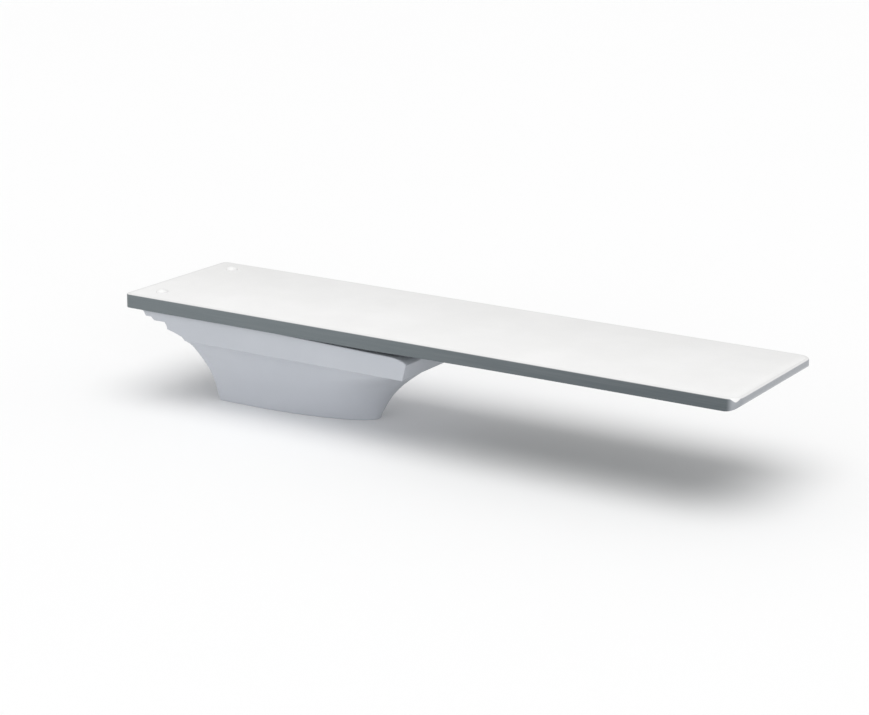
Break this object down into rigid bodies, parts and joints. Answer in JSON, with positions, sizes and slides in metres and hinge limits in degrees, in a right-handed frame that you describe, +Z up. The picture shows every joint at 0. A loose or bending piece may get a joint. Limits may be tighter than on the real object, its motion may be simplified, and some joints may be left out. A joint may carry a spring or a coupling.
{
  "type": "diving board",
  "caption": "Low pool-side springboard: a flexing white board with a non-slip tread, bolted at its back to a grey moulded stand that narrows to a boat-shaped foot and bears it on a fulcrum.",
  "frame": {"origin": "on the pool deck, at the middle of the whole part's outline seen from above", "axes": "+X along the board toward its free tip, +Y across the board, +Z up"},
  "size_m": [1.829, 0.457, 0.3092],
  "materials": {
    "board_skin": "satin moulded glass-fibre laminate, white",
    "timber": "plain sawn softwood, unfinished",
    "tread": "rough white grit coat",
    "stand_plastic": "fine-textured grey moulded polyethylene",
    "mat_rubber": "matt black sheet rubber",
    "cushion_rubber": "matt black",
    "frame_steel": "grey powder coat",
    "cap_plastic": "white moulded snap cap",
    "plug_plastic": "black moulded",
    "seat_aluminium": "mill finish",
    "stainless": "satin stainless steel",
    "zinc_steel": "bright zinc plate"
  },
  "bodies": {
    "stand": {"board_skin_root": "board_skin", "board_core_root": "timber", "tread_root": "tread", "stand_cap": "stand_plastic", "pedestal": "stand_plastic", "rear_mat": "mat_rubber", "rear_plate": "frame_steel", "base_plate": "frame_steel", "posts": "frame_steel", "gussets": "frame_steel", "side_rails": "frame_steel", "rail_ends": "frame_steel", "rail_plugs": "plug_plastic", "packers": "frame_steel", "rear_ribs": "frame_steel", "cross_tubes": "frame_steel", "fulcrum_saddle": "frame_steel", "fulcrum_seat": "seat_aluminium", "fulcrum_cushion": "cushion_rubber", "board_bolts": "stainless", "bolt_caps": "cap_plastic", "cup_washers": "stainless", "rubber_washers": "cushion_rubber", "bolt_sleeves": "stainless", "lip_washers": "stainless", "lock_nuts": "stainless", "joint_bolts": "zinc_steel", "joint_nuts": "zinc_steel", "seat_screws": "zinc_steel", "seat_nuts": "zinc_steel"},
    "board_free": {"board_skin_free": "board_skin", "board_core_free": "timber", "tread_free": "tread"}
  },
  "joints": [
    {"name": "board_flex", "type": "hinge", "parent": "stand", "child": "board_free", "pos_m": [-0.1145, 0, 0.2805], "axis": [0, 1, 0], "range_deg": [-1.5, 6], "stiffness_Nm_per_rad": 12600, "springref_deg": -0.33}
  ]
}
